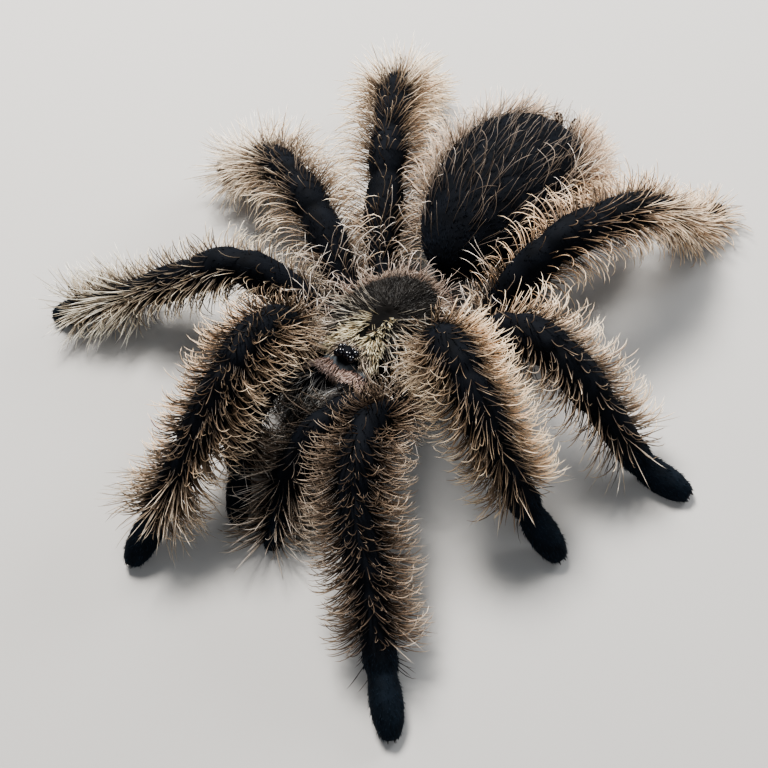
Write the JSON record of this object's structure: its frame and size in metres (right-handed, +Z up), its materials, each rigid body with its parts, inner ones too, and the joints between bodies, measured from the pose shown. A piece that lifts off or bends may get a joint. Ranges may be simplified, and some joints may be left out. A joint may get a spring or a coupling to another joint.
{
  "type": "tarantula model",
  "caption": "Still, life-size tarantula crouching on its feet, with a domed carapace, egg-shaped abdomen, jaws, palps and jointed hairy legs.",
  "frame": {"origin": "on the floor under the middle of the model's box", "axes": "+Z up, -Y towards the head, +X towards the animal's left side"},
  "size_m": [0.1126, 0.1136, 0.0272],
  "materials": {
    "coat": "black velvet skin with long tan curly hair",
    "foot": "short dark blue-grey velvet",
    "carapace": "matted short golden-bronze hair",
    "eyes": "glossy black",
    "fang": "smooth dark horn"
  },
  "bodies": {
    "root": {"carapace": "carapace", "eye_tubercle": "eyes", "sternum": "coat", "pedicel": "coat", "abdomen": "coat", "chelicera_left": "coat", "fang_left": "fang", "spinneret_left": "coat", "chelicera_right": "coat", "fang_right": "fang", "spinneret_right": "coat", "palp_right_femur": "coat", "palp_right_patella": "coat", "palp_right_tibia": "coat", "palp_right_tarsus": "foot", "palp_left_femur": "coat", "palp_left_patella": "coat", "palp_left_tibia": "coat", "palp_left_tarsus": "foot", "leg_right_1_femur": "coat", "leg_right_1_patella": "coat", "leg_right_1_tibia": "coat", "leg_right_1_metatarsus": "coat", "leg_right_1_tarsus": "foot", "leg_left_1_femur": "coat", "leg_left_1_patella": "coat", "leg_left_1_tibia": "coat", "leg_left_1_metatarsus": "coat", "leg_left_1_tarsus": "foot", "leg_right_2_femur": "coat", "leg_right_2_patella": "coat", "leg_right_2_tibia": "coat", "leg_right_2_metatarsus": "coat", "leg_right_2_tarsus": "foot", "leg_left_2_femur": "coat", "leg_left_2_patella": "coat", "leg_left_2_tibia": "coat", "leg_left_2_metatarsus": "coat", "leg_left_2_tarsus": "foot", "leg_right_3_femur": "coat", "leg_right_3_patella": "coat", "leg_right_3_tibia": "coat", "leg_right_3_metatarsus": "coat", "leg_right_3_tarsus": "foot", "leg_left_3_femur": "coat", "leg_left_3_patella": "coat", "leg_left_3_tibia": "coat", "leg_left_3_metatarsus": "coat", "leg_left_3_tarsus": "foot", "leg_right_4_femur": "coat", "leg_right_4_patella": "coat", "leg_right_4_tibia": "coat", "leg_right_4_metatarsus": "coat", "leg_right_4_tarsus": "foot", "leg_left_4_femur": "coat", "leg_left_4_patella": "coat", "leg_left_4_tibia": "coat", "leg_left_4_metatarsus": "coat", "leg_left_4_tarsus": "foot"}
  },
  "joints": []
}
